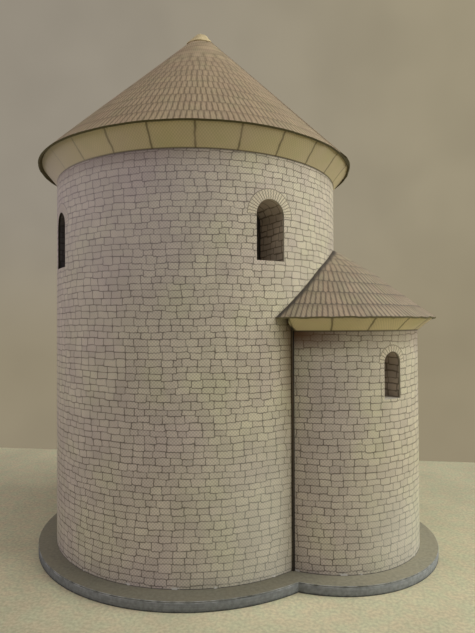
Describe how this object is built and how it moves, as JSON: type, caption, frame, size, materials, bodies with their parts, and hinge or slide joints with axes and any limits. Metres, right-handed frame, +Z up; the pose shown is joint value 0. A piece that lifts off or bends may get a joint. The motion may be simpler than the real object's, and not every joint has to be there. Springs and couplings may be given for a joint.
{
  "type": "card model of a rotunda",
  "caption": "Printed card model of a small round stone church: a drum nave with a conical roof, a lower round apse and deep arched windows, on a two-lobed board base.",
  "frame": {"origin": "on the nave's axis, at the underside of the base board", "axes": "+Z up along the nave's axis; +X from the nave towards the apse; +Y to the apse's left as seen from outside it, along the base's shortest extent"},
  "size_m": [0.0696, 0.056, 0.0918],
  "materials": {
    "base_board": "matte",
    "base_cover": "matte",
    "nave_masonry_print": "matte",
    "apse_masonry_print": "matte",
    "plain_card": "matte",
    "cornice_print": "matte",
    "nave_roof_print": "matte",
    "apse_roof_print": "matte",
    "tip_print": "matte",
    "blackened_card": "matte",
    "reveal_print": "matte",
    "sill_print": "matte",
    "window_back": "matte"
  },
  "bodies": {
    "root": {"base_board": "base_board", "base_cover": "base_cover", "nave_wall": "nave_masonry_print", "nave_joint_strip": "plain_card", "nave_cornice": "cornice_print", "nave_roof": "nave_roof_print", "nave_roof_tip": "tip_print", "apse_wall": "apse_masonry_print", "apse_joint_tab_south": "blackened_card", "apse_joint_tab_north": "blackened_card", "apse_cornice": "cornice_print", "apse_roof": "apse_roof_print", "nave_window_lining_southeast": "reveal_print", "nave_window_sill_southeast": "sill_print", "nave_window_back_southeast": "window_back", "nave_window_lining_southwest": "reveal_print", "nave_window_sill_southwest": "sill_print", "nave_window_back_southwest": "window_back", "nave_window_lining_northwest": "reveal_print", "nave_window_sill_northwest": "sill_print", "nave_window_back_northwest": "window_back", "nave_window_lining_northeast": "reveal_print", "nave_window_sill_northeast": "sill_print", "nave_window_back_northeast": "window_back", "apse_window_lining_south": "reveal_print", "apse_window_sill_south": "sill_print", "apse_window_back_south": "window_back", "apse_window_lining_north": "reveal_print", "apse_window_sill_north": "sill_print", "apse_window_back_north": "window_back"}
  },
  "joints": []
}
